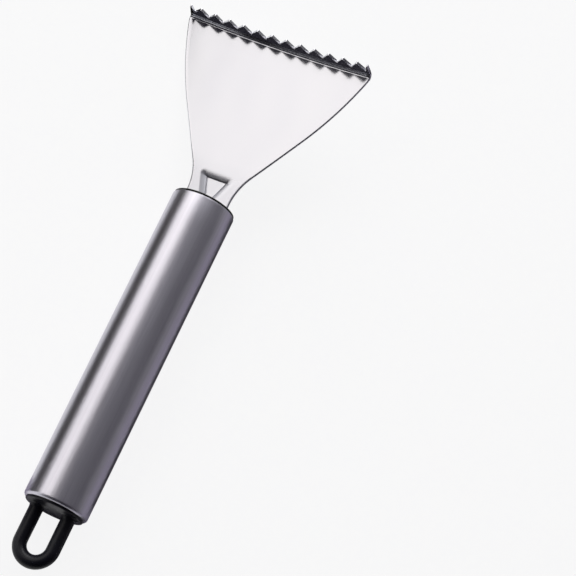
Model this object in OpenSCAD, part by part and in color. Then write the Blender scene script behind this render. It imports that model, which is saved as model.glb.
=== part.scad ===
// Fish scaler: a toothed stainless blade held in a tubular stainless handle with a hanging loop.
// +Y runs along the handle towards the blade, +Z is up, the origin is on the handle's axis at mid length.
// The tool lies as it comes to rest: on the handle and on one front corner of the blade, teeth up.

/* [Handle tube] */
// Outside diameter of the handle tube
tube_d = 22; // [18:0.5:30]
// Wall of the handle tube
tube_wall = 0.8; // [0.5:0.1:1.4]
// Length of the handle tube
tube_len = 112.2; // [90:0.1:150]
// Outside radius of the tube end that is rolled in round the hanging plug
roll_r = 1.2; // [1:0.1:1.8]
// Edge rounding of the tube at the mouth
mouth_round_r = 0.2; // [0.1:0.05:0.5]

/* [Blade outline] */
// Thickness of the blade sheet
sheet_t = 1; // [0.7:0.05:1.5]
// Width of the neck that enters the handle
neck_w = 15.8; // [12:0.1:17]
// Distance from the mouth to the point where the sides turn outwards
flare_start = 9.7; // [8:0.1:14]
// Radius of the hollow curve between neck and flare
neck_r = 22.5; // [15:0.5:28]
// Width across the front corners
front_w = 67.3; // [56:0.1:82]
// Radius of the outward curve of the sides near the front
side_r = 127; // [100:1:160]
// How far a front corner lies inside the straight line of the flare
side_bow = 3.9; // [3:0.1:4.6]
// Distance from the mouth to the outer face of the toothed lip
blade_reach = 64; // [55:0.1:80]
// Radius to which the sheet is hollowed across its width
trough_r = 263; // [200:1:400]

/* [Toothed lip] */
// Inside radius of the fold
bend_r = 1.5; // [0.5:0.1:2]
// Height of the lip above the face of the sheet
lip_h = 6.35; // [5.8:0.05:9]
// Distance from tooth to tooth, measured at the tips
tooth_pitch = 5.25; // [4:0.05:7]
// Depth of the notches between the teeth
tooth_depth = 3.45; // [2.5:0.05:3.9]
// Flat left at the tip of a tooth
tip_land = 0.5; // [0.2:0.05:0.9]
// Flat at the bottom of a notch
root_land = 0.3; // [0.15:0.05:0.8]
// Least width of the horn that stands at each end of the lip
horn_w = 1.1; // [0.8:0.1:2]

/* [Pressed neck recess] */
// Distance from the mouth to the wide end of the recess floor
recess_far = 10; // [8.5:0.1:14]
// Distance from the bush's collar to the near edge of the recess
recess_gap = 0.1; // [0.1:0.1:2]
// Width of the recess floor at its wide end
recess_wide_w = 7.6; // [5:0.1:9]
// Width of the recess floor at its narrow end
recess_narrow_w = 2.4; // [1.4:0.1:4]
// Depth of the recess
recess_depth = 1; // [0.6:0.05:1.5]
// Run of the soft shoulder and the steep step round the recess floor, both together
recess_slope = 2; // [1:0.05:2.3]
// Part of the depth that the soft shoulder takes
recess_shoulder = 0.4; // [0.1:0.05:0.5]
// Run of the steep step between the shoulder and the floor
recess_step = 0.2; // [0.1:0.05:0.4]

/* [Tang and mouth bush] */
// Length of the tang inside the handle
tang_len = 26; // [18:0.5:40]
// Corner cut at the end of the tang
tang_corner = 3; // [1:0.5:5]
// Diameter of the locking hole in the tang
lock_d = 6; // [4:0.1:8]
// Distance from the mouth to the locking hole
lock_y = 17; // [10:0.5:17.5]
// Plastic behind the end of the tang
bush_end = 4; // [2:0.5:8]
// How far the edge of the bush's collar lies inside the tube's outside
collar_inset = 0.3; // [0.1:0.05:1]
// Thickness of the collar outside the mouth
collar_t = 0.75; // [0.4:0.05:1.5]
// Width of the two cored pockets in the back of the bush
core_w = 10; // [6:0.5:11]
// Thickness of each cored pocket
core_t = 3.6; // [2:0.1:4]
// Distance from the blade's plane to the middle of a cored pocket
core_off = 5; // [4:0.1:5.5]
// Depth of the cored pockets
core_depth = 22; // [10:0.5:26]

/* [Hanging plug] */
// How far the edge of the plug's face flange lies inside the tube's outside
face_inset = 1; // [0.3:0.05:1.1]
// Thickness of the face flange outside the tube
face_t = 0.8; // [0.6:0.05:1.5]
// Edge rounding of the face flange
face_round_r = 0.5; // [0.2:0.05:0.6]
// Length of the plug inside the tube
plug_len = 14; // [10:0.5:22]
// Wall of the hollow part of the plug
plug_wall = 1.8; // [1.2:0.1:2.5]
// Thickness of the plug behind its face
plug_base = 3; // [2:0.1:5]
// Rise of the snap bead that sits behind the rolled end
snap_rise = 0.3; // [0.1:0.05:0.35]
// Length of the snap bead
snap_len = 2.4; // [1.5:0.1:4]
// Length over which the snap bead has its full height
snap_flat = 0.6; // [0.3:0.1:0.9]
// Thickness of the hanging loop
loop_rod_d = 4.7; // [3.5:0.1:6]
// Clear width of the loop's eye
eye_w = 6.6; // [5:0.1:9]
// Distance from the tube end to the centre of the loop's end curve
eye_reach = 12.7; // [9:0.1:20]
// Clearance between fitted pieces
fit_gap = 0.05; // [0.03:0.01:0.1]

/* [Hidden] */

// Fineness of large curves, of small round parts and of the shallow trough
fine_fn = 180;
small_fn = 48;
trough_fn = 1440;
// Straight steps that each curve of the outline is drawn in
neck_steps = 10;
side_steps = 12;
// How far a cutter runs past the face that it cuts
past = 1;
// Thickness of the slices that a tapered form is drawn between
slice_t = 0.01;

mouth_y = tube_len / 2;
tail_y = -tube_len / 2;
tube_r = tube_d / 2;
bore_r = tube_r - tube_wall;
collar_r = tube_r - collar_inset;
face_r = tube_r - face_inset;

// The sheet is centred on the handle's axis, and its trough turns about an axis above it
face_z = sheet_t / 2;
trough_z = face_z + trough_r;
half_turn = asin(front_w / 2 / trough_r);
// A front corner on the lower face, which lies further out than the same corner on the upper face
corner_x = (trough_r + sheet_t) * sin(half_turn);
corner_z = trough_z - (trough_r + sheet_t) * cos(half_turn);
// Radius of the tooth tips about the trough axis
tip_r = trough_r - lip_h;
bend_y = mouth_y + blade_reach - sheet_t - bend_r;
lip_y = bend_y + bend_r;

// Corner where neck and flare would meet, the front corner, and the flare's direction between them
flare_at = [neck_w / 2, mouth_y + flare_start];
front_at = [corner_x, bend_y];
side_run = front_at - flare_at;
flare_deg = atan2(side_run.x, side_run.y) + asin(side_bow / norm(side_run));
flare_dir = [sin(flare_deg), cos(flare_deg)];
// Where the straight flare passes into the outward curve, and that curve's centre
straight_len = sqrt(side_run * side_run - side_bow * side_bow)
    - sqrt(side_bow * (2 * side_r - side_bow));
curve_at = flare_at + straight_len * flare_dir;
curve_mid = curve_at + side_r * [-cos(flare_deg), sin(flare_deg)];
// Direction from that centre to the front corner
front_turn = asin((bend_y - curve_mid.y) / side_r);
// Tangent length of the neck's hollow curve
neck_tangent = neck_r * tan(flare_deg / 2);

// Teeth are counted from the room between the end horns
tip_half_w = tip_r * sin(half_turn);
tooth_count = 2 * floor((tip_half_w - horn_w) / tooth_pitch);
tooth_turn = tooth_pitch / tip_r * 180 / PI;
horn_room = tip_half_w - tooth_count / 2 * tooth_pitch;

// Roll about the handle's axis that brings one front corner down to the level of the tube
lean_deg = atan2(corner_z, corner_x) + asin(tube_r / norm([corner_x, corner_z]));

// How much wider the recess is on the back of the sheet than on its face
back_margin = sheet_t / 2;
// Height of the steep step
step_h = recess_depth - recess_shoulder;
// The whole blade lies within this height above and below the handle's axis
blade_room = 2 * lip_h;

// The rolled end of the tube leaves this opening for the plug
roll_open_r = tube_r - roll_r;
loop_r = (eye_w + loop_rod_d) / 2;

module at_rest() {
    rotate([0, -lean_deg, 0])
        children();
}

// Turns what is drawn round the Z axis into a piece round the handle's axis
module along_handle() {
    rotate([-90, 0, 0])
        children();
}

module quarter_disc(outer_r) {
    intersection() {
        circle(r = outer_r, $fn = small_fn);
        square(outer_r + past);
    }
}

module quarter_ring(inner_r, outer_r) {
    difference() {
        quarter_disc(outer_r);
        circle(r = inner_r, $fn = small_fn);
    }
}

// Section of the folded sheet: x is the distance from the trough axis, y runs along the handle
module sheet_section(grow) {
    translate([trough_r - grow, mouth_y - tang_len - grow])
        square([sheet_t + 2 * grow, bend_y - mouth_y + tang_len + grow]);
    translate([trough_r - bend_r, bend_y])
        quarter_ring(bend_r, bend_r + sheet_t);
    translate([tip_r, lip_y])
        square([lip_h - bend_r, sheet_t]);
}

module folded_sheet(grow = 0) {
    translate([0, 0, trough_z])
        along_handle()
            rotate([0, 0, 90 - half_turn])
                rotate_extrude(angle = 2 * half_turn, $fn = trough_fn)
                    sheet_section(grow);
}

// Points of an arc about mid, from one angle to another, both included
function arc_points(mid, r, from, to, steps) = [
    for (i = [0 : steps])
        let (turn = from + (to - from) * i / steps)
            mid + r * [cos(turn), sin(turn)]
];

// Right side of the blade from the tang to the fold, then squared off to hold the whole lip
function right_side() = concat(
    [
        [neck_w / 2 - tang_corner, mouth_y - tang_len],
        [neck_w / 2, mouth_y - tang_len + tang_corner]
    ],
    arc_points(flare_at + [neck_r, -neck_tangent], neck_r, 180, 180 - flare_deg, neck_steps),
    arc_points(curve_mid, side_r, -flare_deg, front_turn, side_steps),
    [
        [corner_x + past, bend_y],
        [corner_x + past, lip_y + sheet_t + past]
    ]
);

function mirrored(points) = [
    for (i = [len(points) - 1 : -1 : 0])
        [-points[i].x, points[i].y]
];

module blade_outline() {
    polygon(concat(right_side(), mirrored(right_side())));
}

// Moves what is drawn at the middle of the lip round the trough axis
module round_trough(turn) {
    translate([0, 0, trough_z])
        rotate([0, turn, 0])
            translate([0, 0, -trough_z])
                children();
}

// A V notch through the lip, with a run of its own on each side, measured at the tips
module notch(left_run, right_run) {
    root_z = face_z + lip_h - tooth_depth;
    rise = (tooth_depth + past) / tooth_depth;
    half_root = root_land / 2;
    translate([0, lip_y + sheet_t + past, 0])
        rotate([90, 0, 0])
            linear_extrude(height = sheet_t + 2 * past)
                polygon([
                    [-half_root, root_z],
                    [half_root, root_z],
                    [half_root + (right_run - half_root) * rise, root_z + tooth_depth * rise],
                    [-half_root - (left_run - half_root) * rise, root_z + tooth_depth * rise]
                ]);
}

module notches() {
    run = (tooth_pitch - tip_land) / 2;
    end_run = min(run, horn_room - tip_land);
    for (i = [1 : tooth_count - 1])
        round_trough((i - tooth_count / 2) * tooth_turn)
            notch(run, run);
    round_trough(-tooth_count / 2 * tooth_turn)
        notch(run, end_run);
    round_trough(tooth_count / 2 * tooth_turn)
        notch(end_run, run);
}

// Outline of the recess, wide towards the blade, larger than its floor by the given margin
module recess_outline(margin) {
    near_y = mouth_y + collar_t + recess_gap + recess_slope + back_margin - margin;
    far_y = mouth_y + recess_far + margin;
    polygon([
        [-recess_narrow_w / 2 - margin, near_y],
        [recess_narrow_w / 2 + margin, near_y],
        [recess_wide_w / 2 + margin, far_y],
        [-recess_wide_w / 2 - margin, far_y]
    ]);
}

// Tapered form between a wide outline above and a narrow one below
module recess_form(top_z, top_margin, floor_z, floor_margin) {
    hull() {
        translate([0, 0, top_z - slice_t])
            linear_extrude(height = slice_t)
                recess_outline(top_margin);
        translate([0, 0, floor_z])
            linear_extrude(height = slice_t)
                recess_outline(floor_margin);
    }
}

// The recess stands out below the sheet by its depth, and these forms begin within the sheet
module recess_back() {
    back_z = face_z + recess_depth;
    recess_form(0, recess_slope + back_margin, step_h - back_z, recess_step + back_margin);
    recess_form(0, recess_step * back_z / step_h + back_margin, -back_z, back_margin);
}

// The shoulder's cutter keeps its slope past the upper face, and the step's begins level with it
module recess_hollow() {
    reach = (recess_shoulder + past) / recess_shoulder;
    shoulder_run = recess_slope - recess_step;
    floor_z = face_z - recess_depth;
    recess_form(face_z + past, recess_step + shoulder_run * reach, floor_z + step_h, recess_step);
    recess_form(face_z, recess_step * recess_depth / step_h, floor_z, 0);
}

module blade_solid() {
    difference() {
        union() {
            intersection() {
                folded_sheet();
                linear_extrude(height = 2 * blade_room, center = true)
                    blade_outline();
            }
            recess_back();
        }
        recess_hollow();
        notches();
        translate([0, mouth_y - lock_y, -sheet_t - past])
            cylinder(d = lock_d, h = 2 * (sheet_t + past), $fn = small_fn);
    }
}

module blade() {
    color([0.90, 0.90, 0.91])
        at_rest()
            blade_solid();
}

// Section of the tube wall: x is the distance from the axis, y runs from the tail to the mouth
module tube_section() {
    // Straight wall between the rolled end and the mouth
    translate([bore_r, roll_r])
        square([tube_wall, tube_len - roll_r - mouth_round_r]);
    // Rolled end round the plug
    translate([roll_open_r, roll_r])
        mirror([0, 1])
            quarter_ring(roll_r - tube_wall, roll_r);
    // Mouth with its rounded outer edge
    translate([bore_r, tube_len - mouth_round_r])
        square([tube_wall - mouth_round_r, mouth_round_r]);
    translate([tube_r - mouth_round_r, tube_len - mouth_round_r])
        quarter_disc(mouth_round_r);
}

module handle_tube() {
    color([0.62, 0.61, 0.65])
        at_rest()
            translate([0, tail_y, 0])
                along_handle()
                    rotate_extrude($fn = fine_fn)
                        tube_section();
}

// Space that the tang takes in the bush, with the locking post left standing
module tang_space() {
    difference() {
        intersection() {
            folded_sheet(fit_gap);
            translate([-neck_w / 2 - fit_gap, mouth_y - tang_len - fit_gap, -tube_r])
                cube([neck_w + 2 * fit_gap, tang_len + collar_t + past, tube_d]);
        }
        translate([0, mouth_y - lock_y, -tube_r])
            cylinder(d = lock_d - 2 * fit_gap, h = tube_d, $fn = small_fn);
    }
}

module mouth_bush() {
    body_len = tang_len + bush_end;
    color([0.06, 0.06, 0.065])
        at_rest()
            difference() {
                union() {
                    translate([0, mouth_y - body_len, 0])
                        along_handle()
                            cylinder(r = bore_r - fit_gap, h = body_len + collar_t, $fn = fine_fn);
                    translate([0, mouth_y, 0])
                        along_handle()
                            cylinder(r = collar_r, h = collar_t, $fn = fine_fn);
                }
                tang_space();
                for (side = [-1, 1])
                    translate([-core_w / 2, mouth_y - body_len - past, side * core_off - core_t / 2])
                        cube([core_w, core_depth + past, core_t]);
            }
}

// Section of the plug: x is the distance from the axis, y runs from its face into the tube
module plug_section() {
    plug_r = roll_open_r - fit_gap;
    bead_y = tube_wall + fit_gap;
    cavity_r = plug_r - plug_wall;
    difference() {
        union() {
            translate([0, -face_t])
                square([face_r - face_round_r, face_t]);
            translate([0, -face_t + face_round_r])
                square([face_r, face_t - face_round_r]);
            translate([face_r - face_round_r, -face_t + face_round_r])
                mirror([0, 1])
                    quarter_disc(face_round_r);
            square([plug_r, plug_len]);
            polygon([
                [0, bead_y],
                [plug_r, bead_y],
                [plug_r + snap_rise, bead_y + snap_rise],
                [plug_r + snap_rise, bead_y + snap_rise + snap_flat],
                [plug_r, bead_y + snap_len],
                [0, bead_y + snap_len]
            ]);
        }
        translate([0, plug_base])
            square([cavity_r, plug_len]);
    }
}

module hanging_loop() {
    leg_len = eye_reach + plug_base / 2;
    for (side = [-1, 1])
        translate([side * loop_r, -eye_reach, 0])
            along_handle()
                cylinder(d = loop_rod_d, h = leg_len, $fn = small_fn);
    translate([0, -eye_reach, 0])
        rotate([0, 0, 180])
            rotate_extrude(angle = 180, $fn = fine_fn)
                translate([loop_r, 0])
                    circle(d = loop_rod_d, $fn = small_fn);
}

module hanging_plug() {
    color([0.05, 0.05, 0.055])
        at_rest()
            translate([0, tail_y, 0]) {
                along_handle()
                    rotate_extrude($fn = fine_fn)
                        plug_section();
                hanging_loop();
            }
}

blade();
handle_tube();
mouth_bush();
hanging_plug();
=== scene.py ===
import math

import bmesh
import bpy
from mathutils import Matrix, Vector


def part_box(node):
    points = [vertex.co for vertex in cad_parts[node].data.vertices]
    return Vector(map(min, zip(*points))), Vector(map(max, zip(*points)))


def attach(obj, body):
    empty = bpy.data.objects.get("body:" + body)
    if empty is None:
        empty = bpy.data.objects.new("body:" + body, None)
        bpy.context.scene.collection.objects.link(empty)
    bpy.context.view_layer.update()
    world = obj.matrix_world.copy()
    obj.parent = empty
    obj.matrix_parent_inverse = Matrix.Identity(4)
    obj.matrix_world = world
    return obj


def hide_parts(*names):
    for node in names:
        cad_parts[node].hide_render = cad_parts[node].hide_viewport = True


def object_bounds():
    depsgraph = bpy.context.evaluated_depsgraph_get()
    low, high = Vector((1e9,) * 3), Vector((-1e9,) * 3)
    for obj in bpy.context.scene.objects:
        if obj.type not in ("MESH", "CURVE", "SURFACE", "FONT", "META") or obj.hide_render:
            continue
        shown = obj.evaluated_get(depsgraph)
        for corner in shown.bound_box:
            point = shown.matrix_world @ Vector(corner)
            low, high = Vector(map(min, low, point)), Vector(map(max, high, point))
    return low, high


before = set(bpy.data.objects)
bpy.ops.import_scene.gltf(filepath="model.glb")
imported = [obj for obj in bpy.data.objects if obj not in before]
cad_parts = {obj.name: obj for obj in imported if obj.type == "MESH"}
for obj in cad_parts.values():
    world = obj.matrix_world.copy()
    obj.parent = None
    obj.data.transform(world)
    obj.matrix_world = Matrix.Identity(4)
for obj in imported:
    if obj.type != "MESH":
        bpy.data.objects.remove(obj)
cad_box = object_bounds()

# Sizes are in millimetres until a mesh is placed, and +Y runs along the handle towards the blade
MM = 0.001

# Handle tube, measured on the frame
tube_low, tube_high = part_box("handle_tube")
TUBE_R = (tube_high[0] - tube_low[0]) / 2 / MM
TAIL_Y = tube_low[1] / MM
MOUTH_Y = tube_high[1] / MM
FLOOR_Z = cad_box[0][2] / MM
TUBE_WALL = 0.8
ROLL_R = 1.2
MOUTH_ROUND_R = 0.2

# Blade sheet
SHEET_T = 1.0
NECK_W = 15.8
FLARE_START = 9.7
NECK_R = 22.5
FRONT_W = 67.3
SIDE_R = 127.0
SIDE_BOW = 3.9
TROUGH_R = 263.0
BEND_R = 1.0
# Rounding that the polishing leaves on the outline
SIDE_ROUND = 0.45
LIP_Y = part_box("blade")[1][1] / MM - SHEET_T

# Toothed lip
LIP_H = 6.35
TOOTH_PITCH = 5.25
TOOTH_DEPTH = 3.45
TIP_LAND = 0.5
ROOT_LAND = 0.3
HORN_W = 1.1
TOOTH_ROUND = 0.12

# Pressed recess in the neck
RECESS_NEAR = 3.35
RECESS_FAR = 10.6
RECESS_WIDE_W = 6.7
RECESS_NARROW_W = 1.5
RECESS_DEPTH = 0.95
RECESS_SLOPE = 2.5
RECESS_SHOULDER = 0.55
RECESS_STEP = 0.2
# The step is less steep along the sides of the recess than at its wide end
RECESS_SIDE_STEP = 0.55

# Tang inside the handle
TANG_LEN = 26.0
TANG_CORNER = 3.0
LOCK_D = 6.0
LOCK_Y = 17.0

# Finishes of the blade's faces, and faces across each tooth and round each side of the sheet
FACE, EDGE = 0, 1
TOOTH_STEPS = 6
SIDE_STEPS = 3

# Hanging plug
FACE_INSET = 1.0
FACE_T = 0.8
FACE_ROUND_R = 0.5
PLUG_LEN = 14.0
PLUG_WALL = 1.8
PLUG_BASE = 3.0
FIT_GAP = 0.05
LOOP_ROD_D = 4.7
EYE_W = 6.6
EYE_REACH = 12.7
LEG_FILLET = 0.9

# Camera of the photograph: place, aim, and turn of the picture's upward direction from +Y towards -X
CAMERA_AT = Vector((-41.2, -189.0, 721.5))
CAMERA_AIM = Vector((37.04, 44.54, 0.0))
CAMERA_TURN_DEG = 24.7
LENS_MM = 144.0
SENSOR_MM = 36.0
# The point that the lamps face
LIT_POINT = Vector((0, 40, 0))
# How far the paper is seen as plain white, over the light and shadow that fall on it
PAPER_GLOW = 0.9
# Cards laid flat on the paper lie this high
CARD_Z = FLOOR_Z + 0.3

# Haze of the polished blade: its roughness at both sides, its patches, and what the press adds round the recess
HAZE_LEFT_X, HAZE_RIGHT_X = -34.0, 31.0
HAZE_LEFT, HAZE_RIGHT = 0.14, 0.20
HAZE_PATCHES = 0.015
PRESSED_Y, UNPRESSED_Y = 66.0, 74.0
HAZE_PRESSED = 0.14
# The part of 0..1 that noise mostly fills
NOISE_SPAN = {"From Min": 0.25, "From Max": 0.75}

# Derived forms of the blade
half_turn = math.asin(FRONT_W / 2 / TROUGH_R)
trough_z = SHEET_T / 2 + TROUGH_R
corner_x = (TROUGH_R + SHEET_T) * math.sin(half_turn)
corner_z = trough_z - (TROUGH_R + SHEET_T) * math.cos(half_turn)
lean = math.atan2(corner_z, corner_x) + math.asin(TUBE_R / math.hypot(corner_x, corner_z))
at_rest = Matrix.Rotation(-lean, 4, "Y")
bend_y = LIP_Y - BEND_R
tang_y = MOUTH_Y - TANG_LEN
tip_r = TROUGH_R - LIP_H
root_h = LIP_H - TOOTH_DEPTH
tip_half_w = tip_r * half_turn
tooth_count = 2 * int((tip_r * math.sin(half_turn) - HORN_W) / TOOTH_PITCH)
horn_room = tip_half_w - tooth_count / 2 * TOOTH_PITCH

flare_at = Vector((NECK_W / 2, MOUTH_Y + FLARE_START))
side_run = Vector((corner_x, bend_y)) - flare_at
flare = math.atan2(side_run.x, side_run.y) + math.asin(SIDE_BOW / side_run.length)
flare_way = Vector((math.sin(flare), math.cos(flare)))
tangent_len = math.sqrt(side_run.length_squared - SIDE_BOW**2)
straight_len = tangent_len - math.sqrt(SIDE_BOW * (2 * SIDE_R - SIDE_BOW))
curve_at = flare_at + straight_len * flare_way
curve_mid = curve_at + SIDE_R * Vector((-math.cos(flare), math.sin(flare)))
neck_mid = flare_at + Vector((NECK_R, -NECK_R * math.tan(flare / 2)))
neck_end = neck_mid.y + NECK_R * math.sin(flare)


def linear(hex_colour):
    """A colour written as sRGB hex, turned to linear with full alpha."""
    parts = [int(hex_colour[i : i + 2], 16) / 255 for i in (1, 3, 5)]
    return (*[c / 12.92 if c <= 0.04045 else ((c + 0.055) / 1.055) ** 2.4 for c in parts], 1.0)


def add_node(tree, kind, inputs=None, **settings):
    """Adds a node, sets its properties, and fills its inputs with values or other nodes' outputs."""
    node = tree.nodes.new(kind)
    for name, value in settings.items():
        setattr(node, name, value)
    for key, value in (inputs or {}).items():
        if isinstance(value, bpy.types.NodeSocket):
            tree.links.new(value, node.inputs[key])
        else:
            node.inputs[key].default_value = value
    return node


def new_material(name):
    """An empty material with its output node."""
    material = bpy.data.materials.new(name)
    material.use_nodes = True
    tree = material.node_tree
    tree.nodes.clear()
    return material, tree, add_node(tree, "ShaderNodeOutputMaterial")


def finish_material(material, tree, out, shader):
    """Links the shader to the output and hands the material back."""
    tree.links.new(shader, out.inputs["Surface"])
    return material


def grain(tree, period_mm, detail=2.0, roughness=0.5):
    """Noise on object coordinates whose grain is period_mm long on each axis."""
    place = add_node(tree, "ShaderNodeTexCoord").outputs["Object"]
    scaled = add_node(
        tree,
        "ShaderNodeMapping",
        {"Vector": place, "Scale": [1 / (p * MM) for p in period_mm]},
    ).outputs["Vector"]
    return add_node(
        tree, "ShaderNodeTexNoise", {"Vector": scaled, "Scale": 1.0, "Detail": detail, "Roughness": roughness}
    ).outputs["Fac"]


def polished_sheet_material():
    """Cold-rolled stainless sheet, mirror polished: near-white reflections with a faint polishing haze."""
    material, tree, out = new_material("mirror_polished_stainless_sheet")
    place = add_node(tree, "ShaderNodeTexCoord").outputs["Object"]
    at = add_node(tree, "ShaderNodeSeparateXYZ", {0: place}).outputs
    side = add_node(
        tree,
        "ShaderNodeMapRange",
        {
            "Value": at["X"],
            "From Min": HAZE_LEFT_X * MM,
            "From Max": HAZE_RIGHT_X * MM,
            "To Min": HAZE_LEFT,
            "To Max": HAZE_RIGHT,
        },
    ).outputs["Result"]
    patches = add_node(
        tree,
        "ShaderNodeMapRange",
        {**NOISE_SPAN, "Value": grain(tree, (9, 14, 9), detail=3), "To Min": -HAZE_PATCHES, "To Max": HAZE_PATCHES},
    ).outputs["Result"]
    polished = add_node(tree, "ShaderNodeMath", {0: side, 1: patches}, operation="ADD").outputs[0]
    # The polishing wheel reaches less well into the pressed neck
    pressed = add_node(
        tree,
        "ShaderNodeMapRange",
        {
            "Value": at["Y"],
            "From Min": PRESSED_Y * MM,
            "From Max": UNPRESSED_Y * MM,
            "To Min": HAZE_PRESSED,
            "To Max": 0.0,
        },
    ).outputs["Result"]
    haze = add_node(tree, "ShaderNodeMath", {0: polished, 1: pressed}, operation="ADD").outputs[0]
    lines = grain(tree, (0.35, 6, 0.35))
    ripple = grain(tree, (16, 22, 16), detail=0)
    fine = add_node(tree, "ShaderNodeBump", {"Height": lines, "Strength": 0.01, "Distance": 0.0001})
    wave = add_node(
        tree,
        "ShaderNodeBump",
        {"Height": ripple, "Strength": 0.12, "Distance": 0.0004, "Normal": fine.outputs["Normal"]},
    )
    cloud = add_node(
        tree,
        "ShaderNodeMapRange",
        {**NOISE_SPAN, "Value": grain(tree, (13, 34, 13), detail=1), "To Min": 0.0, "To Max": 1.0},
    ).outputs["Result"]
    tint = add_node(
        tree,
        "ShaderNodeMix",
        {"Factor": cloud, "A": linear("#c3c3ca"), "B": linear("#c6c6cc")},
        data_type="RGBA",
    )
    shader = add_node(
        tree,
        "ShaderNodeBsdfPrincipled",
        {"Metallic": 1.0, "Roughness": haze, "Normal": wave.outputs["Normal"]},
    )
    tree.links.new(tint.outputs[2], shader.inputs["Base Color"])
    return finish_material(material, tree, out, shader.outputs["BSDF"])


def punched_edge_painted_shade_material():
    """The cut edge of the same sheet, as the punch leaves it: duller, with short scores across the edge, and
    coloured far darker than the steel's own colour as painted shade and painted dark reflection.
    """
    material, tree, out = new_material("punched_stainless_edge_painted_shade")
    scores = grain(tree, (0.25, 0.25, 0.9), detail=3)
    # Both colours are painted shade, far darker than stainless steel, varied by the scores
    tint = add_node(
        tree,
        "ShaderNodeMix",
        {"Factor": scores, "A": linear("#2f2e33"), "B": linear("#4c4b51")},
        data_type="RGBA",
    )
    bump = add_node(tree, "ShaderNodeBump", {"Height": scores, "Strength": 0.3, "Distance": 0.00005})
    dulled = add_node(
        tree, "ShaderNodeMapRange", {**NOISE_SPAN, "Value": scores, "To Min": 0.22, "To Max": 0.38}
    ).outputs["Result"]
    shader = add_node(
        tree,
        "ShaderNodeBsdfPrincipled",
        {
            "Metallic": 1.0,
            "Roughness": dulled,
            "Normal": bump.outputs["Normal"],
        },
    )
    tree.links.new(tint.outputs[2], shader.inputs["Base Color"])
    return finish_material(material, tree, out, shader.outputs["BSDF"])


def satin_tube_material():
    """Stainless tube brushed along its length: fine long streaks, with highlights spread round the tube."""
    material, tree, out = new_material("satin_brushed_stainless_tube")
    hair = grain(tree, (0.22, 26, 0.22), detail=4, roughness=0.62)
    streak = grain(tree, (1.1, 70, 1.1), detail=3, roughness=0.6)
    tint = add_node(
        tree,
        "ShaderNodeMix",
        {"Factor": streak, "A": linear("#bebcc6"), "B": linear("#dddbe5")},
        data_type="RGBA",
    )
    bump = add_node(tree, "ShaderNodeBump", {"Height": hair, "Strength": 0.6, "Distance": 0.00004})
    dulled = add_node(
        tree, "ShaderNodeMapRange", {**NOISE_SPAN, "Value": hair, "To Min": 0.31, "To Max": 0.39}
    ).outputs["Result"]
    shader = add_node(
        tree,
        "ShaderNodeBsdfPrincipled",
        {
            "Metallic": 1.0,
            "Roughness": dulled,
            "Normal": bump.outputs["Normal"],
        },
    )
    tree.links.new(tint.outputs[2], shader.inputs["Base Color"])
    return finish_material(material, tree, out, shader.outputs["BSDF"])


def black_plastic_material(name, colour, low, high):
    """Black plastic as moulded: satin, with a faint spark-eroded grain that breaks up the highlights."""
    material, tree, out = new_material(name)
    pebble = grain(tree, (0.3, 0.3, 0.3), detail=3)
    flow = grain(tree, (5, 9, 5))
    dulled = add_node(
        tree, "ShaderNodeMapRange", {**NOISE_SPAN, "Value": flow, "To Min": low, "To Max": high}
    ).outputs["Result"]
    bump = add_node(tree, "ShaderNodeBump", {"Height": pebble, "Strength": 0.25, "Distance": 0.00003})
    shader = add_node(
        tree,
        "ShaderNodeBsdfPrincipled",
        {
            "Base Color": linear(colour),
            "Roughness": dulled,
            "IOR": 1.49,
            "Specular IOR Level": 0.25,
            "Normal": bump.outputs["Normal"],
        },
    )
    return finish_material(material, tree, out, shader.outputs["BSDF"])


def floor_material():
    """Matt white paper, seen as plain white straight on, in metal and through glass, with the tool's shadow."""
    material, tree, out = new_material("white_paper_sweep")
    fibre = grain(tree, (2, 2, 2), detail=2)
    tint = add_node(
        tree,
        "ShaderNodeMix",
        {"Factor": fibre, "A": linear("#fcfcfd"), "B": linear("#fefefe")},
        data_type="RGBA",
    )
    paper = add_node(tree, "ShaderNodeBsdfPrincipled", {"Roughness": 0.9, "Specular IOR Level": 0.1})
    tree.links.new(tint.outputs[2], paper.inputs["Base Color"])
    glow = add_node(tree, "ShaderNodeEmission", {"Strength": 1.0})
    tree.links.new(tint.outputs[2], glow.inputs["Color"])
    path = add_node(tree, "ShaderNodeLightPath").outputs
    seen = path["Is Camera Ray"]
    for ray in ("Is Glossy Ray", "Is Transmission Ray"):
        seen = add_node(tree, "ShaderNodeMath", {0: seen, 1: path[ray]}, operation="MAXIMUM").outputs[0]
    share = add_node(tree, "ShaderNodeMath", {0: seen, 1: PAPER_GLOW}, operation="MULTIPLY").outputs[0]
    shader = add_node(tree, "ShaderNodeMixShader", {0: share, 1: paper.outputs["BSDF"], 2: glow.outputs[0]})
    return finish_material(material, tree, out, shader.outputs[0])


def card_material(name, colour):
    """Matt coloured card for the studio, never seen straight on."""
    material, tree, out = new_material(name)
    shader = add_node(tree, "ShaderNodeBsdfDiffuse", {"Color": linear(colour)})
    return finish_material(material, tree, out, shader.outputs["BSDF"])


def side_x(y):
    """Half the blade's width at a place along the handle, up to the fold."""
    if y < tang_y + TANG_CORNER:
        return NECK_W / 2 - TANG_CORNER + (y - tang_y)
    if y < neck_mid.y:
        return NECK_W / 2
    if y < neck_end:
        return neck_mid.x - math.sqrt(NECK_R**2 - (y - neck_mid.y) ** 2)
    if y < curve_at.y:
        return flare_at.x + (y - flare_at.y) * math.tan(flare)
    return curve_mid.x + math.sqrt(SIDE_R**2 - (y - curve_mid.y) ** 2)


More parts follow.
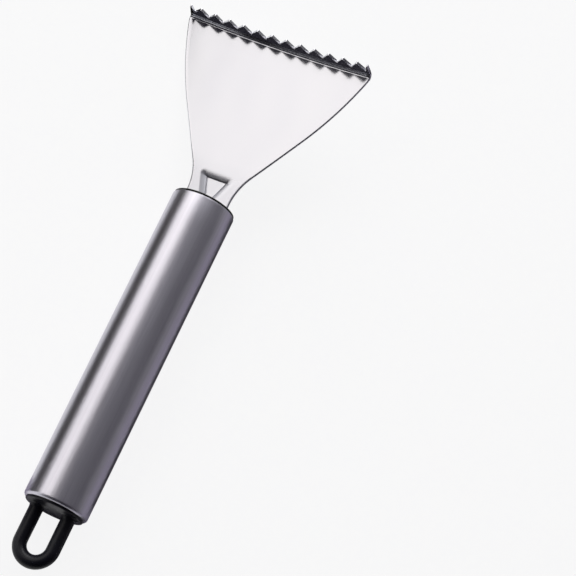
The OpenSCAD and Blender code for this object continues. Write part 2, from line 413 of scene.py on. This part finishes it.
def recess_drop(x, y, margin):
    """Depth of the pressed recess at a point of the sheet: a soft shoulder, a steep step, a flat floor."""
    near, far = MOUTH_Y + RECESS_NEAR, MOUTH_Y + RECESS_FAR
    spread_run = Vector((far - near, (RECESS_WIDE_W - RECESS_NARROW_W) / 2)).normalized()
    past_side = (abs(x) - RECESS_NARROW_W / 2) * spread_run.x - (y - near) * spread_run.y - margin
    past_end = max(y - far, near - y) - margin
    out = math.hypot(max(past_side, 0), max(past_end, 0))
    if out == 0:
        return RECESS_DEPTH
    step = RECESS_STEP + (RECESS_SIDE_STEP - RECESS_STEP) * max(past_side, 0) / out
    if out < step:
        return RECESS_DEPTH - (RECESS_DEPTH - RECESS_SHOULDER) * out / step
    return RECESS_SHOULDER * max(0.0, 1 - (out - step) / (RECESS_SLOPE - step)) ** 1.5


def even(start, end, step):
    """Places from start up to but not including end, at most step apart."""
    count = max(1, math.ceil((end - start) / step - 1e-9))
    return [start + (end - start) * i / count for i in range(count)]


def sheet_rows():
    """The folded sheet's section: pairs of points (radius, y) on its two faces, and its sides' rounding."""
    far = MOUTH_Y + RECESS_FAR
    recess_from = MOUTH_Y + RECESS_NEAR - RECESS_SLOPE - 0.6
    recess_to = far + RECESS_SLOPE + 0.6
    stops = [
        *even(tang_y, tang_y + TANG_CORNER, 0.5),
        *even(tang_y + TANG_CORNER, recess_from, 1.2),
        *even(recess_from, far, 0.17),
        *even(far, far + RECESS_STEP, 0.07),
        *even(far + RECESS_STEP, recess_to, 0.17),
        *even(recess_to, neck_end, 0.6),
        *even(neck_end, bend_y, 1.0),
    ]
    rows = [((TROUGH_R, y), (TROUGH_R + SHEET_T, y), SIDE_ROUND) for y in stops]
    # Round the fold the sides' rounding runs out, so that the lip ends square
    steps = 16
    for i in range(steps + 1):
        turn = math.pi / 2 * i / steps
        inner, outer = (
            (TROUGH_R - BEND_R + r * math.cos(turn), bend_y + r * math.sin(turn))
            for r in (BEND_R, BEND_R + SHEET_T)
        )
        rows.append((inner, outer, SIDE_ROUND * (1 - 0.5 * i / steps)))
    rows.append(((TROUGH_R - root_h, LIP_Y), (TROUGH_R - root_h, LIP_Y + SHEET_T), 0.0))
    return rows


def sheet_columns():
    """Places across the lip, measured along its tips, with True where a notch's flat begins."""
    base = TOOTH_PITCH - ROOT_LAND
    places = [(-tip_half_w, False), (-tooth_count / 2 * TOOTH_PITCH - ROOT_LAND / 2, True)]
    for i in range(tooth_count):
        start = (i - tooth_count / 2) * TOOTH_PITCH + ROOT_LAND / 2
        places += [(start + base * k / TOOTH_STEPS, k == TOOTH_STEPS) for k in range(TOOTH_STEPS + 1)]
    places += [(tooth_count / 2 * TOOTH_PITCH + ROOT_LAND / 2, False), (tip_half_w, False)]
    return places


def in_trough(x, radius, y):
    """A place across the lip, a distance from the trough's axis and a place along the handle."""
    turn = x / tip_r
    return Vector((radius * math.sin(turn), y, trough_z - radius * math.cos(turn)))


def sheet_point(row, across, inset, depth):
    """A point of the sheet: a share of its half width less an inset, and a depth below its face."""
    upper, lower, _ = row
    radius = upper[0] + depth * (lower[0] - upper[0])
    y = upper[1] + depth * (lower[1] - upper[1])
    edge = half_turn if y > bend_y - 1e-6 else min(half_turn, math.asin(side_x(y) / radius))
    turn = across * (edge - inset / radius)
    if MOUTH_Y < y < MOUTH_Y + RECESS_FAR + 2 * RECESS_SLOPE:
        radius += recess_drop(radius * math.sin(turn), y, depth * SHEET_T / 2)
    return in_trough(turn * tip_r, radius, y)


def side_points(row, side):
    """Points round one side of the sheet, from just past its upper face to just before its lower face."""
    rounding = row[2]
    turns = [math.pi / 2 * k / SIDE_STEPS for k in range(1, SIDE_STEPS + 1)]
    bends = [(rounding * (1 - math.sin(t)), rounding / SHEET_T * (1 - math.cos(t))) for t in turns]
    bends += [(inset, 1 - depth) for inset, depth in reversed(bends)]
    return [sheet_point(row, side, inset, depth) for inset, depth in bends]


def tooth_row_tree():
    """Geometry Nodes: a straight row of tapered teeth without their bottom faces, standing on Z = 0."""
    tree = bpy.data.node_groups.new("tooth_row", "GeometryNodeTree")
    for name in ("Pitch", "Root Flat", "Tip Flat", "Depth", "Thickness"):
        tree.interface.new_socket(name, in_out="INPUT", socket_type="NodeSocketFloat")
    for name in ("Count", "Steps"):
        tree.interface.new_socket(name, in_out="INPUT", socket_type="NodeSocketInt")
    tree.interface.new_socket("Finish", in_out="INPUT", socket_type="NodeSocketMaterial")
    tree.interface.new_socket("Geometry", in_out="OUTPUT", socket_type="NodeSocketGeometry")
    given = add_node(tree, "NodeGroupInput").outputs

    base = add_node(
        tree, "ShaderNodeMath", {0: given["Pitch"], 1: given["Root Flat"]}, operation="SUBTRACT"
    ).outputs[0]
    size = add_node(
        tree, "ShaderNodeCombineXYZ", {"X": base, "Y": given["Thickness"], "Z": given["Depth"]}
    ).outputs[0]
    stations = add_node(tree, "ShaderNodeMath", {0: given["Steps"], 1: 1.0}, operation="ADD").outputs[0]
    block = add_node(
        tree,
        "GeometryNodeMeshCube",
        {"Size": size, "Vertices X": stations, "Vertices Y": 2, "Vertices Z": 2},
    ).outputs["Mesh"]
    # The top of the block is drawn in to the flat at the tooth's tip, and the block is stood on Z = 0
    place = add_node(tree, "GeometryNodeInputPosition").outputs[0]
    height = add_node(tree, "ShaderNodeSeparateXYZ", {0: place}).outputs["Z"]
    top = add_node(tree, "ShaderNodeMath", {0: height, 1: 0.0}, operation="GREATER_THAN").outputs[0]
    narrow = add_node(tree, "ShaderNodeMath", {0: given["Tip Flat"], 1: base}, operation="DIVIDE").outputs[0]
    taper = add_node(tree, "ShaderNodeMapRange", {"Value": top, "To Min": 1.0, "To Max": narrow}).outputs[0]
    taper_x = add_node(tree, "ShaderNodeCombineXYZ", {"X": taper, "Y": 1.0, "Z": 1.0}).outputs[0]
    lift = add_node(tree, "ShaderNodeVectorMath", {0: size, 1: (0.0, 0.5, 0.5)}, operation="MULTIPLY").outputs[0]
    drawn_in = add_node(
        tree, "ShaderNodeVectorMath", {0: place, 1: taper_x, 2: lift}, operation="MULTIPLY_ADD"
    ).outputs[0]
    tooth = add_node(tree, "GeometryNodeSetPosition", {"Geometry": block, "Position": drawn_in}).outputs[0]
    normal = add_node(tree, "GeometryNodeInputNormal").outputs[0]
    facing = add_node(tree, "ShaderNodeSeparateXYZ", {0: normal}).outputs["Z"]
    bottom = add_node(
        tree, "FunctionNodeCompare", {"A": facing, "B": -0.9}, data_type="FLOAT", operation="LESS_THAN"
    ).outputs[0]
    open_tooth = add_node(
        tree, "GeometryNodeDeleteGeometry", {"Geometry": tooth, "Selection": bottom}, domain="FACE"
    ).outputs[0]
    # The row is centred on X = 0
    gaps = add_node(tree, "ShaderNodeMath", {0: given["Count"], 1: 1.0}, operation="SUBTRACT").outputs[0]
    half_back = add_node(
        tree, "ShaderNodeMath", {0: given["Pitch"], 1: -0.5}, operation="MULTIPLY"
    ).outputs[0]
    start = add_node(tree, "ShaderNodeMath", {0: gaps, 1: half_back}, operation="MULTIPLY").outputs[0]
    line = add_node(
        tree,
        "GeometryNodeMeshLine",
        {
            "Count": given["Count"],
            "Start Location": add_node(tree, "ShaderNodeCombineXYZ", {"X": start}).outputs[0],
            "Offset": add_node(tree, "ShaderNodeCombineXYZ", {"X": given["Pitch"]}).outputs[0],
        },
    ).outputs[0]
    row = add_node(tree, "GeometryNodeInstanceOnPoints", {"Points": line, "Instance": open_tooth}).outputs[0]
    real = add_node(tree, "GeometryNodeRealizeInstances", {"Geometry": row}).outputs[0]
    dressed = add_node(
        tree, "GeometryNodeSetMaterial", {"Geometry": real, "Material": given["Finish"]}
    ).outputs[0]
    add_node(tree, "NodeGroupOutput", {"Geometry": dressed})
    return tree


def loop_tree():
    """Geometry Nodes: a rod swept along a U, with legs that flare where they leave the face."""
    tree = bpy.data.node_groups.new("hanging_loop", "GeometryNodeTree")
    for name in ("Rod Diameter", "Bend Radius", "Leg Length", "Fillet"):
        tree.interface.new_socket(name, in_out="INPUT", socket_type="NodeSocketFloat")
    tree.interface.new_socket("Finish", in_out="INPUT", socket_type="NodeSocketMaterial")
    tree.interface.new_socket("Geometry", in_out="OUTPUT", socket_type="NodeSocketGeometry")
    given = add_node(tree, "NodeGroupInput").outputs

    line = add_node(tree, "GeometryNodeCurvePrimitiveLine").outputs[0]
    path = add_node(tree, "GeometryNodeResampleCurve", {"Curve": line, "Count": 240}).outputs[0]
    # Each line gives a value its name, its operation and what goes into it
    sums = [
        ("arc", "MULTIPLY", "Bend Radius", math.pi),
        ("both legs", "MULTIPLY", "Leg Length", 2.0),
        ("whole", "ADD", "both legs", "arc"),
        ("along", "MULTIPLY", "share", "whole"),
        # Down one leg, round the end, and back up the other leg
        ("down", "MINIMUM", "along", "Leg Length"),
        ("after", "SUBTRACT", "along", "Leg Length"),
        ("free turn", "DIVIDE", "after", "Bend Radius"),
        ("turn from 0", "MAXIMUM", "free turn", 0.0),
        ("turn", "MINIMUM", "turn from 0", math.pi),
        ("past arc", "SUBTRACT", "after", "arc"),
        ("back", "MAXIMUM", "past arc", 0.0),
        ("cosine", "COSINE", "turn", 0.0),
        ("inwards", "MULTIPLY", "cosine", "Bend Radius"),
        ("across", "MULTIPLY", "inwards", -1.0),
        ("sine", "SINE", "turn", 0.0),
        ("bulge", "MULTIPLY", "sine", "Bend Radius"),
        ("depth", "ADD", "down", "bulge"),
        ("level", "SUBTRACT", "back", "depth"),
        # The rod grows by a quarter-round over the last stretch before the face
        ("end share", "PINGPONG", "share", 0.5),
        ("from end", "MULTIPLY", "end share", "whole"),
        ("flare reach", "MULTIPLY", "Fillet", 2.0),
        ("reached", "DIVIDE", "from end", "flare reach"),
        ("left over", "SUBTRACT", 1.0, "reached"),
        ("into", "MAXIMUM", "left over", 0.0),
        ("squared", "POWER", "into", 2.0),
        ("under root", "SUBTRACT", 1.0, "squared"),
        ("root", "SQRT", "under root", 0.0),
        ("rise", "SUBTRACT", 1.0, "root"),
        ("flare", "MULTIPLY", "rise", "Fillet"),
        ("rod radius", "MULTIPLY", "Rod Diameter", 0.5),
        ("radius", "ADD", "rod radius", "flare"),
    ]
    known = {name: given[name] for name in ("Rod Diameter", "Bend Radius", "Leg Length", "Fillet")}
    known["share"] = add_node(tree, "GeometryNodeSplineParameter").outputs["Factor"]
    for name, operation, first, second in sums:
        inputs = {0: known.get(first, first), 1: known.get(second, second)}
        known[name] = add_node(tree, "ShaderNodeMath", inputs, operation=operation).outputs[0]

    place = add_node(tree, "ShaderNodeCombineXYZ", {"X": known["across"], "Y": known["level"]}).outputs[0]
    bent = add_node(tree, "GeometryNodeSetPosition", {"Geometry": path, "Position": place}).outputs[0]
    sized = add_node(tree, "GeometryNodeSetCurveRadius", {"Curve": bent, "Radius": known["radius"]}).outputs[0]
    section = add_node(
        tree, "GeometryNodeCurvePrimitiveCircle", {"Resolution": 40, "Radius": 1.0}
    ).outputs["Curve"]
    swept = add_node(
        tree,
        "GeometryNodeCurveToMesh",
        {"Curve": sized, "Profile Curve": section, "Scale": known["radius"], "Fill Caps": True},
    ).outputs[0]
    real = add_node(tree, "GeometryNodeRealizeInstances", {"Geometry": swept}).outputs[0]
    dressed = add_node(
        tree, "GeometryNodeSetMaterial", {"Geometry": real, "Material": given["Finish"]}
    ).outputs[0]
    add_node(tree, "NodeGroupOutput", {"Geometry": dressed})
    return tree


def grown_mesh(tree, sizes, name):
    """Runs a node tree with the given inputs and returns its result as a plain mesh."""
    seed = bpy.data.objects.new(name + "_seed", bpy.data.meshes.new(name + "_seed"))
    bpy.context.scene.collection.objects.link(seed)
    modifier = seed.modifiers.new(name, "NODES")
    modifier.node_group = tree
    for item in tree.interface.items_tree:
        if item.in_out == "INPUT" and item.name in sizes:
            modifier[item.identifier] = sizes[item.name]
    evaluated = seed.evaluated_get(bpy.context.evaluated_depsgraph_get())
    mesh = bpy.data.meshes.new_from_object(evaluated)
    seed.modifiers.remove(modifier)
    bpy.data.objects.remove(seed)
    return mesh


def new_piece(name, mesh, materials):
    """A finished mesh, given in millimetres in the tool's own frame, laid down as the tool rests."""
    mesh.transform(at_rest @ Matrix.Scale(MM, 4))
    piece = bpy.data.objects.new(name, mesh)
    bpy.context.scene.collection.objects.link(piece)
    mesh.materials.clear()
    for material in materials:
        mesh.materials.append(material)
    return piece


def with_modifiers(piece):
    """Replaces a piece's mesh by the result of its modifiers, and removes them."""
    evaluated = piece.evaluated_get(bpy.context.evaluated_depsgraph_get())
    mesh = bpy.data.meshes.new_from_object(evaluated)
    piece.modifiers.clear()
    piece.data = mesh
    return piece


def blade_mesh(painted_shade_edge_finish):
    """The folded, troughed and trimmed sheet with its teeth, as one closed mesh."""
    bm = bmesh.new()
    rows, columns = sheet_rows(), sheet_columns()
    shares = [x / tip_half_w for x, _ in columns]
    count = len(columns)
    rings = []
    for row in rows:
        points = [sheet_point(row, share, row[2], 0.0) for share in shares]
        points += side_points(row, 1)
        points += [sheet_point(row, share, row[2], 1.0) for share in reversed(shares)]
        points += reversed(side_points(row, -1))
        rings.append([bm.verts.new(point) for point in points])
    size = len(rings[0])
    # The two flat strips between the rounded corners are cut edges, and the rest is face
    flat = {count + SIDE_STEPS - 1, 2 * count + 3 * SIDE_STEPS - 1}

    def face(corners, finish):
        bm.faces.new(corners).material_index = finish

    for ring, following in zip(rings, rings[1:]):
        for k in range(size):
            n = (k + 1) % size
            face([ring[k], ring[n], following[n], following[k]], EDGE if k in flat else FACE)
    first, last = rings[0], rings[-1]
    opposite = 2 * count + 2 * SIDE_STEPS - 1
    for k in range(count - 1):
        face([first[k], first[k + 1], first[opposite - k - 1], first[opposite - k]], EDGE)
        if columns[k][1]:
            face([last[k], last[k + 1], last[opposite - k - 1], last[opposite - k]], EDGE)
    face([first[k] for k in range(count - 1, count + 2 * SIDE_STEPS + 1)], EDGE)
    face([first[k % size] for k in range(opposite, size + 1)], EDGE)

    teeth = grown_mesh(
        tooth_row_tree(),
        {
            "Pitch": TOOTH_PITCH,
            "Root Flat": ROOT_LAND,
            "Tip Flat": TIP_LAND,
            "Depth": TOOTH_DEPTH,
            "Thickness": SHEET_T,
            "Count": tooth_count,
            "Steps": TOOTH_STEPS,
            "Finish": painted_shade_edge_finish,
        },
        "tooth_row",
    )
    first_vert = len(bm.verts)
    first_face = len(bm.faces)
    bm.from_mesh(teeth)
    bm.verts.ensure_lookup_table()
    bm.faces.ensure_lookup_table()
    for vert in bm.verts[first_vert:]:
        vert.co = in_trough(vert.co.x, TROUGH_R - root_h - vert.co.z, LIP_Y + vert.co.y)
    for tooth_face in bm.faces[first_face:]:
        tooth_face.normal_update()
        tooth_face.material_index = FACE if abs(tooth_face.normal.y) > 0.9 else EDGE

    # A horn at each end of the lip: its outer side is the sheet's end and its inner side a steep flank
    flank = min((TOOTH_PITCH - TIP_LAND) / 2, horn_room - TIP_LAND)
    for side in (-1, 1):
        inner = tooth_count / 2 * TOOTH_PITCH
        places = [
            (side * (inner + ROOT_LAND / 2), root_h),
            (side * tip_half_w, root_h),
            (side * tip_half_w, LIP_H),
            (side * (inner + flank), LIP_H),
        ]
        near = [bm.verts.new(in_trough(x, TROUGH_R - h, LIP_Y)) for x, h in places]
        far = [bm.verts.new(in_trough(x, TROUGH_R - h, LIP_Y + SHEET_T)) for x, h in places]
        face(near, FACE)
        face(list(reversed(far)), FACE)
        for a, b in ((1, 2), (2, 3), (3, 0)):
            face([near[b], near[a], far[a], far[b]], EDGE)

    bmesh.ops.remove_doubles(bm, verts=bm.verts, dist=0.004)
    bmesh.ops.recalc_face_normals(bm, faces=bm.faces)
    rounded = bm.edges.layers.float.new("bevel_weight_edge")
    for edge in bm.edges:
        heights = [TROUGH_R - math.hypot(v.co.x, trough_z - v.co.z) for v in edge.verts]
        if min(heights) > root_h - 0.01 and len(edge.link_faces) == 2:
            finishes = {f.material_index for f in edge.link_faces}
            if finishes != {FACE} and edge.calc_face_angle() > math.radians(30):
                edge[rounded] = 1.0
    for f in bm.faces:
        f.smooth = True
    mesh = bpy.data.meshes.new("blade_sheet")
    bm.to_mesh(mesh)
    bm.free()
    return mesh


def lock_hole(piece):
    """Cuts the tang's locking hole."""
    bm = bmesh.new()
    place = at_rest @ Matrix.Scale(MM, 4) @ Matrix.Translation((0, MOUTH_Y - LOCK_Y, 0))
    bmesh.ops.create_cone(
        bm,
        cap_ends=True,
        segments=64,
        radius1=LOCK_D / 2,
        radius2=LOCK_D / 2,
        depth=4 * SHEET_T,
        matrix=place,
    )
    for f in bm.faces:
        f.material_index = EDGE
    mesh = bpy.data.meshes.new("lock_cutter")
    bm.to_mesh(mesh)
    bm.free()
    for material in piece.data.materials:
        mesh.materials.append(material)
    cutter = bpy.data.objects.new("lock_cutter", mesh)
    bpy.context.scene.collection.objects.link(cutter)
    cut = piece.modifiers.new("lock_hole", "BOOLEAN")
    cut.operation = "DIFFERENCE"
    cut.solver = "EXACT"
    cut.object = cutter
    with_modifiers(piece)
    bpy.data.objects.remove(cutter)


def round_edges(piece, width):
    """Rounds the weighted edges and lets the large faces set the shading."""
    bevel = piece.modifiers.new("edge_round", "BEVEL")
    bevel.limit_method = "WEIGHT"
    bevel.width = width * MM
    bevel.segments = 2
    bevel.use_clamp_overlap = True
    bevel.miter_outer = "MITER_ARC"
    shade = piece.modifiers.new("face_shading", "WEIGHTED_NORMAL")
    shade.keep_sharp = True
    with_modifiers(piece)


def arc(mid, radius, start, end, steps=8):
    """Points of an arc, from one angle to another in degrees."""
    turns = [math.radians(start + (end - start) * i / steps) for i in range(steps + 1)]
    return [(mid[0] + radius * math.cos(t), mid[1] + radius * math.sin(t)) for t in turns]


def lathe(name, profile, segments=256, closed=True, sharp_deg=35):
    """Turns a profile of (distance from the axis, y) round the handle's axis into a smooth mesh."""
    bm = bmesh.new()
    rings = []
    for r, y in profile:
        if r < 1e-6:
            rings.append([bm.verts.new((0, y, 0))] * segments)
            continue
        turns = [math.tau * k / segments for k in range(segments)]
        rings.append([bm.verts.new((r * math.sin(t), y, r * math.cos(t))) for t in turns])
    pairs = list(zip(rings, rings[1:] + rings[:1] if closed else rings[1:]))
    for a, b in pairs:
        for k in range(segments):
            n = (k + 1) % segments
            corners = []
            for vert in (a[k], a[n], b[n], b[k]):
                if vert not in corners:
                    corners.append(vert)
            if len(corners) > 2:
                bm.faces.new(corners)
    bmesh.ops.recalc_face_normals(bm, faces=bm.faces)
    for f in bm.faces:
        f.smooth = True
    mesh = bpy.data.meshes.new(name)
    bm.to_mesh(mesh)
    bm.free()
    mesh.set_sharp_from_angle(angle=math.radians(sharp_deg))
    return mesh


def tube_mesh():
    """The tube's wall, rolled in at the tail and rounded at the mouth."""
    bore = TUBE_R - TUBE_WALL
    roll_mid = (TUBE_R - ROLL_R, TAIL_Y + ROLL_R)
    profile = [
        *arc(roll_mid, ROLL_R, -90, 0, 14),
        *[(TUBE_R, y) for y in even(TAIL_Y + ROLL_R + 2, MOUTH_Y - MOUTH_ROUND_R - 2, 8)],
        *arc((TUBE_R - MOUTH_ROUND_R, MOUTH_Y - MOUTH_ROUND_R), MOUTH_ROUND_R, 0, 90, 6),
        (bore, MOUTH_Y),
        *arc(roll_mid, ROLL_R - TUBE_WALL, 0, -90, 6),
    ]
    return lathe("handle_tube_satin", profile)


def plug_mesh():
    """The plug's turned form: face flange, body and the hollow behind it."""
    face_r = TUBE_R - FACE_INSET
    body_r = TUBE_R - ROLL_R - FIT_GAP
    cavity_r = body_r - PLUG_WALL
    profile = [
        (0, TAIL_Y - FACE_T),
        *arc((face_r - FACE_ROUND_R, TAIL_Y - FACE_T + FACE_ROUND_R), FACE_ROUND_R, -90, 0, 6),
        (face_r, TAIL_Y),
        (body_r, TAIL_Y),
        (body_r, TAIL_Y + PLUG_LEN),
        (cavity_r, TAIL_Y + PLUG_LEN),
        (cavity_r, TAIL_Y + PLUG_BASE),
        (0, TAIL_Y + PLUG_BASE),
    ]
    return lathe("plug_body", profile, segments=160, closed=False)


def loop_mesh(finish):
    """The hanging loop, from inside the plug's base round the eye and back."""
    leg = EYE_REACH - FACE_T
    mesh = grown_mesh(
        loop_tree(),
        {
            "Rod Diameter": LOOP_ROD_D,
            "Bend Radius": (EYE_W + LOOP_ROD_D) / 2,
            "Leg Length": leg,
            "Fillet": LEG_FILLET,
            "Finish": finish,
        },
        "hanging_loop",
    )
    mesh.transform(Matrix.Translation((0, TAIL_Y - FACE_T, 0)))
    return mesh


def joined(name, meshes):
    """One mesh out of several that overlap, joined into a single skin."""
    objects = []
    for mesh in meshes:
        obj = bpy.data.objects.new(name + "_part", mesh)
        bpy.context.scene.collection.objects.link(obj)
        objects.append(obj)
    join = objects[0].modifiers.new("join", "BOOLEAN")
    join.operation = "UNION"
    join.solver = "EXACT"
    join.object = objects[1]
    with_modifiers(objects[0])
    mesh = objects[0].data
    for obj in objects:
        bpy.data.objects.remove(obj)
    return mesh


def softbox(name, at, along, size, radiance, colour="#ffffff"):
    """A rectangular lamp aimed at the tool, even all over, with its first side laid along the given way."""
    data = bpy.data.lights.new(name, "AREA")
    data.shape = "RECTANGLE"
    data.size, data.size_y = size[0] * MM, size[1] * MM
    data.energy = radiance * math.pi * data.size * data.size_y
    data.color = linear(colour)[:3]
    lamp = bpy.data.objects.new(name, data)
    bpy.context.scene.collection.objects.link(lamp)
    back = (Vector(at) - LIT_POINT).normalized()
    side = (Vector(along) - Vector(along).dot(back) * back).normalized()
    basis = Matrix((side, back.cross(side), back)).transposed().to_4x4()
    lamp.matrix_world = Matrix.Translation(Vector(at) * MM) @ basis


def flag(name, corners, finish):
    """A card seen only in reflections: it shades no light, and the camera never sees it."""
    bm = bmesh.new()
    bm.faces.new([bm.verts.new(Vector(c) * MM) for c in corners])
    mesh = bpy.data.meshes.new(name)
    bm.to_mesh(mesh)
    bm.free()
    card = bpy.data.objects.new(name, mesh)
    bpy.context.scene.collection.objects.link(card)
    mesh.materials.append(finish)
    card.visible_camera = card.visible_shadow = card.visible_diffuse = False


def paper_sweep():
    """A round paper floor that curves up far behind the object."""
    flat_r, rise_r = 1500, 900
    rise = [(flat_r + x, y + rise_r) for x, y in arc((0, 0), rise_r, -90, -5, 16)]
    profile = [(0, 0), (300, 0), (800, 0), *rise]
    mesh = lathe("paper_sweep", profile, segments=96, closed=False)
    upright = Matrix.Rotation(math.pi / 2, 4, "X")
    mesh.transform(Matrix.Scale(MM, 4) @ Matrix.Translation((0, 0, FLOOR_Z)) @ upright)
    sweep = bpy.data.objects.new("paper_sweep", mesh)
    bpy.context.scene.collection.objects.link(sweep)
    mesh.materials.append(floor_material())


def photo_camera():
    """The camera at the photograph's viewing angle."""
    data = bpy.data.cameras.new("photo_camera")
    data.lens, data.sensor_width = LENS_MM, SENSOR_MM
    data.clip_start, data.clip_end = 0.01, 20
    camera = bpy.data.objects.new("photo_camera", data)
    bpy.context.scene.collection.objects.link(camera)
    ahead = (CAMERA_AIM - CAMERA_AT).normalized()
    turn = math.radians(CAMERA_TURN_DEG)
    right = ahead.cross(Vector((-math.sin(turn), math.cos(turn), 0))).normalized()
    up = right.cross(ahead)
    basis = Matrix((right, up, -ahead)).transposed().to_4x4()
    camera.matrix_world = Matrix.Translation(CAMERA_AT * MM) @ basis
    bpy.context.scene.camera = camera


# Finishes
sheet_finish = polished_sheet_material()
painted_shade_edge_finish = punched_edge_painted_shade_material()
tube_finish = satin_tube_material()
plug_finish = black_plastic_material("moulded_black_polypropylene", "#12121b", 0.34, 0.44)
bush_finish = black_plastic_material("moulded_black_nylon", "#08080a", 0.42, 0.52)

# Blade
blade = new_piece("blade_sheet", blade_mesh(painted_shade_edge_finish), [sheet_finish, painted_shade_edge_finish])
lock_hole(blade)
round_edges(blade, TOOTH_ROUND)
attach(blade, "root")
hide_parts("blade")

# Handle tube
tube = new_piece("satin_tube", tube_mesh(), [tube_finish])
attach(tube, "root")
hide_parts("handle_tube")

# Hanging plug and loop, moulded as one piece
plug = new_piece("plug_and_loop", joined("plug", [plug_mesh(), loop_mesh(plug_finish)]), [plug_finish])
for polygon in plug.data.polygons:
    polygon.use_smooth = True
plug.data.set_sharp_from_angle(angle=math.radians(35))
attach(plug, "root")
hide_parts("hanging_plug")

# The mouth bush keeps its own mesh
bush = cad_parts["mouth_bush"]
bush.data.materials.clear()
bush.data.materials.append(bush_finish)

# Studio
paper_sweep()
photo_camera()
softbox("key_softbox", (-870, 385, 660), (0, 1, 0), (900, 900), 1.56, "#fffcf6")
softbox("front_bank", (-300, 1400, 800), (1, 0, 0), (1500, 900), 5.0)
softbox("overhead_fill", (360, 420, 970), (1, 0, 0), (1600, 900), 0.09)
softbox("tail_kicker", (-130, -92, 38), (0, 1, 0), (90, 50), 1.3)
black_card = card_material("matt_black_card", "#1a1a1a")
grey_card = card_material("matt_grey_card", "#a8a8a8")
# The lilac card paints the shaded paper into the metal's reflections, on the tool's right and under its tail
painted_shade_lilac_card = card_material("matt_lilac_card", "#cfc9da")
# Upright cards, as start and end on the floor, with the height of the upper edge
for name, start, end, top, finish in (
    ("left_flag", (-1250, -200), (-1250, 1200), 180, black_card),
    ("back_left_flag", (-1250, -1250), (-1250, -200), 800, black_card),
    ("right_flag", (1250, -1200), (1250, 1200), 520, grey_card),
    ("back_flag", (-1250, -1250), (1250, -1250), 800, black_card),
    # This card paints a dark band into the handle's left side: it stands close beside the handle and only the metal
    # sees it
    ("painted_dark_band_card_left", (-31, -60), (-31, 75), 14, black_card),
):
    flag(name, [(*start, FLOOR_Z), (*end, FLOOR_Z), (*end, top), (*start, top)], finish)
# Cards laid flat near the tool, as opposite corners. They paint shade into the metal's reflections: the tool's
# shadow on the paper right of the handle and under the tail, the paper right of the tool darker as the key lights
# it from the left, and a painted dark reflection in the blade's left horn
for name, start, end, finish in (
    ("painted_shadow_card_right", (10, -75), (33, 70), black_card),
    ("painted_shade_floor_card_right", (34, -400), (1200, 400), painted_shade_lilac_card),
    ("painted_dark_reflection_card_corner", (-75, 85), (-31, 135), black_card),
    ("painted_shade_card_tail", (-31, -62), (26, -48), painted_shade_lilac_card),
):
    corners = [(start[0], start[1]), (end[0], start[1]), (end[0], end[1]), (start[0], end[1])]
    flag(name, [(*corner, CARD_Z) for corner in corners], finish)
# One card leans beside the blade: painted shadow, standing for the blade's shadow on the paper to its right as the
# metal reflects it
flag("painted_shadow_card_blade", [(26, 70, FLOOR_Z), (52, 150, FLOOR_Z), (52, 150, 8), (26, 70, 2)], black_card)

world = bpy.data.worlds.new("studio_air")
bpy.context.scene.world = world
world.use_nodes = True
world.node_tree.nodes["Background"].inputs["Color"].default_value = linear("#dcd6ee")
world.node_tree.nodes["Background"].inputs["Strength"].default_value = 0.06

bpy.context.scene.view_settings.view_transform = "Standard"
